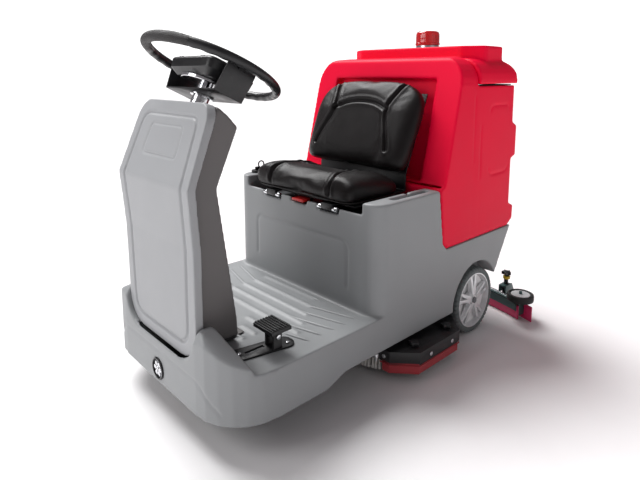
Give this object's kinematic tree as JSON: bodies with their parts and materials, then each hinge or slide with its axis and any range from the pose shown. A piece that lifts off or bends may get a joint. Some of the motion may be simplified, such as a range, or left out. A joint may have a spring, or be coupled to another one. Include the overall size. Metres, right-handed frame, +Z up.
{
  "type": "ride-on floor scrubber",
  "caption": "Ride-on floor scrubber with steered front drive wheel, tilting seat, twin disc brush deck, rear squeegee, and a recovery tank with a hinged lid and beacon.",
  "frame": {"origin": "on the floor, under the centre of the machine's bounding box", "axes": "+Z up, -Y forwards, +X to the driver's left"},
  "size_m": [0.9514, 1.476, 1.152],
  "materials": {
    "grey_body": "satin",
    "light_panel": "satin",
    "dark_cover": "satin",
    "black_steel": "satin",
    "grey_steel": "satin",
    "bright_steel": "polished",
    "silver_rim": "satin",
    "red_tank": "gloss",
    "black_plastic": "matte",
    "lens": "clear",
    "beacon_red": "gloss",
    "black_vinyl": "satin",
    "black_rubber": "matte",
    "drive_rubber": "matte",
    "grey_rubber": "matte",
    "red_rubber": "matte",
    "blade_rubber": "satin",
    "bristle": "matte",
    "red_plastic": "satin",
    "motor_grey": "satin"
  },
  "bodies": {
    "chassis": {"main_body": "grey_body", "under_frame": "black_steel", "column_panel": "light_panel", "column_cover": "dark_cover", "column_post": "grey_steel", "headlight_ring": "black_plastic", "headlight_lamp": "lens", "rear_axle": "grey_steel", "batteries": "black_plastic", "seat_hinges": "bright_steel", "recovery_tank": "red_tank", "lid_seal": "black_rubber", "pedal_base": "black_steel", "pedal_screws": "bright_steel", "deck_actuator": "motor_grey", "drain_valve": "bright_steel"},
    "steering": {"steering_wheel": "black_plastic", "console_box": "black_plastic", "console_bracket": "black_steel", "steering_collars": "bright_steel", "steering_shaft": "grey_steel"},
    "key": {"key_switch": "bright_steel"},
    "stop": {"stop_button": "red_plastic"},
    "fork": {"steering_fork": "motor_grey", "drive_motor": "motor_grey"},
    "front_wheel": {"front_tyre": "drive_rubber", "front_hub": "black_plastic"},
    "rear_wheel_left": {"rear_tyre_left": "grey_rubber", "rear_rim_left": "silver_rim"},
    "rear_wheel_right": {"rear_tyre_right": "grey_rubber", "rear_rim_right": "silver_rim"},
    "pedal": {"drive_pedal": "black_plastic"},
    "seat": {"seat_plate": "black_steel", "seat_cushion": "black_vinyl", "seat_backrest": "black_vinyl", "seat_shell": "black_plastic"},
    "seat_latch": {"seat_release": "red_plastic"},
    "filler": {"filler_cap": "black_plastic"},
    "lid": {"tank_lid": "red_tank", "vacuum_motor": "motor_grey", "beacon_base": "bright_steel", "beacon_dome": "beacon_red"},
    "deck": {"brush_deck": "black_steel", "deck_skirts": "red_rubber", "deck_bolts": "bright_steel", "deck_knobs": "black_plastic", "brush_motors": "motor_grey", "actuator_rod": "bright_steel"},
    "left_brush": {"brush_left": "bristle"},
    "right_brush": {"brush_right": "bristle"},
    "arm": {"squeegee_arm": "black_steel"},
    "squeegee": {"squeegee_channel": "grey_steel", "squeegee_blades": "blade_rubber", "suction_spout": "black_rubber"},
    "left_castor": {"castor_left": "black_rubber"},
    "right_castor": {"castor_right": "black_rubber"},
    "left_roller": {"bumper_roller_left": "black_rubber"},
    "right_roller": {"bumper_roller_right": "black_rubber"},
    "left_knob": {"squeegee_knob_left": "black_plastic"},
    "right_knob": {"squeegee_knob_right": "black_plastic"}
  },
  "joints": [
    {"name": "steering_turn", "type": "hinge", "parent": "chassis", "child": "steering", "pos_m": [0, -0.57087, 0.89911], "axis": [0, 0.4384, 0.8988], "range_deg": [-70, 70]},
    {"name": "key_turn", "type": "hinge", "parent": "steering", "child": "key", "pos_m": [0.062, -0.48748, 0.9697], "axis": [0, 0.4384, 0.8988], "range_deg": [0, 90]},
    {"name": "stop_press", "type": "slide", "parent": "steering", "child": "stop", "axis": [0, -0.4384, -0.8988], "range_m": [0, 0.005], "stiffness_N_per_m": 800},
    {"name": "fork_turn", "type": "hinge", "parent": "chassis", "child": "fork", "pos_m": [0, -0.667, 0.3], "axis": [0, 0, 1], "range_deg": [-70, 70]},
    {"name": "front_wheel_roll", "type": "hinge", "parent": "fork", "child": "front_wheel", "pos_m": [0, -0.622, 0.08], "axis": [1, 0, 0], "continuous": true},
    {"name": "rear_left_roll", "type": "hinge", "parent": "chassis", "child": "rear_wheel_left", "pos_m": [0.33, 0.368, 0.126], "axis": [1, 0, 0], "continuous": true},
    {"name": "rear_right_roll", "type": "hinge", "parent": "chassis", "child": "rear_wheel_right", "pos_m": [-0.33, 0.368, 0.126], "axis": [1, 0, 0], "continuous": true},
    {"name": "drive_pedal_press", "type": "hinge", "parent": "chassis", "child": "pedal", "pos_m": [0.268, -0.525, 0.273], "axis": [1, 0, 0], "range_deg": [0, 14], "stiffness_Nm_per_rad": 6},
    {"name": "seat_tilt", "type": "hinge", "parent": "chassis", "child": "seat", "pos_m": [0, -0.202, 0.546], "axis": [1, 0, 0], "range_deg": [0, 50]},
    {"name": "seat_latch_lift", "type": "hinge", "parent": "seat", "child": "seat_latch", "pos_m": [0, -0.17, 0.547], "axis": [-1, 0, 0], "range_deg": [0, 15], "stiffness_Nm_per_rad": 0.5},
    {"name": "filler_cap_lift", "type": "slide", "parent": "chassis", "child": "filler", "axis": [0, 0, 1], "range_m": [0, 0.04]},
    {"name": "lid_open", "type": "hinge", "parent": "chassis", "child": "lid", "pos_m": [0, 0.604, 0.922], "axis": [-1, 0, 0], "range_deg": [0, 80]},
    {"name": "deck_lower", "type": "slide", "parent": "chassis", "child": "deck", "axis": [0, 0, -1], "range_m": [0, 0.018]},
    {"name": "left_brush_spin", "type": "hinge", "parent": "deck", "child": "left_brush", "pos_m": [0.204, 0.05, 0.06], "axis": [0, 0, 1], "continuous": true},
    {"name": "right_brush_spin", "type": "hinge", "parent": "deck", "child": "right_brush", "pos_m": [-0.204, 0.05, 0.06], "axis": [0, 0, 1], "continuous": true},
    {"name": "squeegee_lift", "type": "hinge", "parent": "chassis", "child": "arm", "pos_m": [0, 0.488, 0.172], "axis": [1, 0, 0], "range_deg": [0, 14]},
    {"name": "squeegee_swivel", "type": "hinge", "parent": "arm", "child": "squeegee", "pos_m": [0, 0.608, 0.165], "axis": [0, 0, 1], "range_deg": [-12, 12]},
    {"name": "left_castor_roll", "type": "hinge", "parent": "squeegee", "child": "left_castor", "pos_m": [0.325, 0.704, 0.035], "axis": [1, 0, 0], "continuous": true},
    {"name": "left_roller_spin", "type": "hinge", "parent": "squeegee", "child": "left_roller", "pos_m": [0.421, 0.608, 0.088], "axis": [0, 0, 1], "continuous": true},
    {"name": "left_knob_turn", "type": "hinge", "parent": "squeegee", "child": "left_knob", "pos_m": [0.325, 0.672, 0.14], "axis": [0, 0, 1], "continuous": true},
    {"name": "right_castor_roll", "type": "hinge", "parent": "squeegee", "child": "right_castor", "pos_m": [-0.325, 0.704, 0.035], "axis": [1, 0, 0], "continuous": true},
    {"name": "right_roller_spin", "type": "hinge", "parent": "squeegee", "child": "right_roller", "pos_m": [-0.421, 0.608, 0.088], "axis": [0, 0, 1], "continuous": true},
    {"name": "right_knob_turn", "type": "hinge", "parent": "squeegee", "child": "right_knob", "pos_m": [-0.325, 0.672, 0.14], "axis": [0, 0, 1], "continuous": true}
  ],
  "couplings": [
    {"joint": "fork_turn", "follows": "steering_turn", "ratio": 1},
    {"joint": "right_brush_spin", "follows": "left_brush_spin", "ratio": -1}
  ]
}
